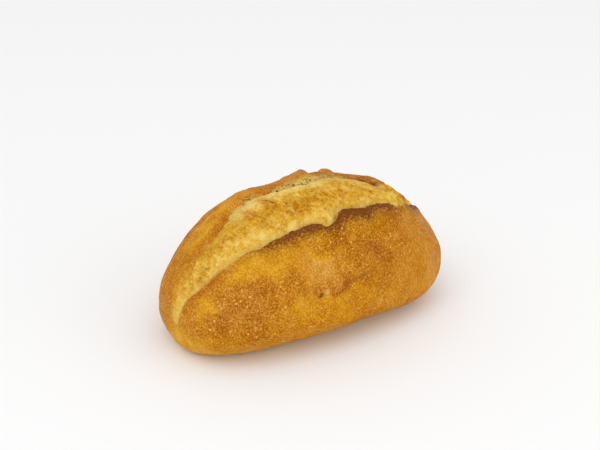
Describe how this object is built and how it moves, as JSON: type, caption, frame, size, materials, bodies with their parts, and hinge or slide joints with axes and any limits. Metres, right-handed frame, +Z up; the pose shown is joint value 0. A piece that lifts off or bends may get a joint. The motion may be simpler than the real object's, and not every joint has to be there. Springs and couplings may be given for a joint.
{
  "type": "bread roll",
  "caption": "Oval crusty bread roll with a flat underside and one lengthwise slash, its browned ear raised beside a paler swollen bloom.",
  "frame": {"origin": "middle of the roll's box, on the flat underside that it rests on", "axes": "+X along the roll to its far end, +Y across to the back edge of the slash, +Z up through the crown"},
  "size_m": [0.1384, 0.0812, 0.0625],
  "materials": {
    "crust": "matte golden brown bread crust, darker on the ear, pale yellow in the slash"
  },
  "bodies": {
    "root": {"bread_roll": "crust"}
  },
  "joints": []
}
